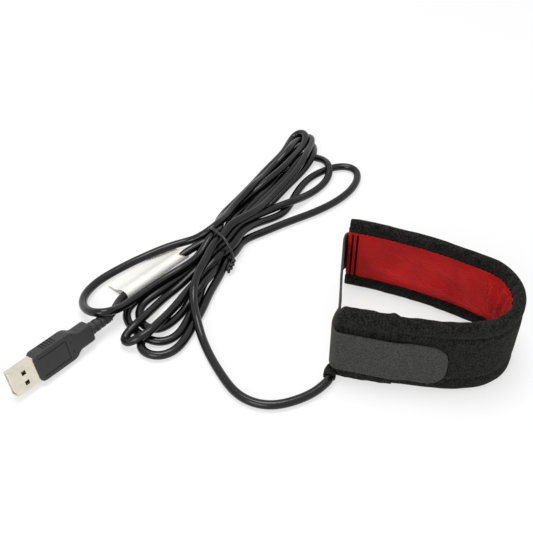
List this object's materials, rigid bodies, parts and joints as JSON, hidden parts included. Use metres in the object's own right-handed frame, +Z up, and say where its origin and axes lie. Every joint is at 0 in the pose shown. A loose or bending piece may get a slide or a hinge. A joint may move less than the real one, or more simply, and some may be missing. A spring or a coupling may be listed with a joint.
{
  "type": "telescope dew heater strip",
  "caption": "Padded velour heater band with a red inner face, closed in a loop by a hook strap, with its tied USB power lead",
  "frame": {"origin": "on the floor under the middle of the band's loop, measured without the cord", "axes": "+Z up through the loop along the barrel it goes round, +X along the loop's longer way, away from the cord's exit"},
  "size_m": [0.2243, 0.2055, 0.0411],
  "materials": {
    "velour": "brushed loop velour, matt black",
    "felt_pad": "soft needled felt",
    "heater_alloy": "bare resistance wire",
    "carrier_film": "thin amber film",
    "red_nylon": "woven red nylon, slight sheen",
    "black_thread": "sewing thread",
    "hook_tape": "woven dark grey hook tape",
    "cord_jacket": "smooth black jacket",
    "lead_red": "red insulation",
    "lead_black": "black insulation",
    "joint_sleeve": "shrink sleeve",
    "tie_wire": "plastic-coated tie wire",
    "label_film": "blank white label film",
    "grip_plastic": "moulded matt black",
    "nickel_shell": "nickel-plated sheet",
    "insulator_plastic": "white moulding",
    "contact_metal": "gold-plated contact"
  },
  "bodies": {
    "root": {"carrier_film": "carrier_film", "closure_strap": "hook_tape", "cord_cuff": "velour", "cord_exit_run": "cord_jacket", "cord_hank": "cord_jacket", "cord_plug_run": "cord_jacket", "cord_tail": "cord_jacket", "end_cover": "velour", "end_stitch_row_1": "black_thread", "end_stitch_row_2": "black_thread", "hank_tie": "tie_wire", "heater_wire": "heater_alloy", "insulation_pad": "felt_pad", "joint_sleeve_black": "joint_sleeve", "joint_sleeve_red": "joint_sleeve", "label_flag": "label_film", "lead_wire_black": "lead_black", "lead_wire_red": "lead_red", "outer_shell": "velour", "plug_contact_1": "contact_metal", "plug_contact_2": "contact_metal", "plug_contact_3": "contact_metal", "plug_contact_4": "contact_metal", "plug_grip": "grip_plastic", "plug_insulator": "insulator_plastic", "plug_shell": "nickel_shell", "red_lining": "red_nylon", "strap_box_stitch": "black_thread"}
  },
  "joints": []
}
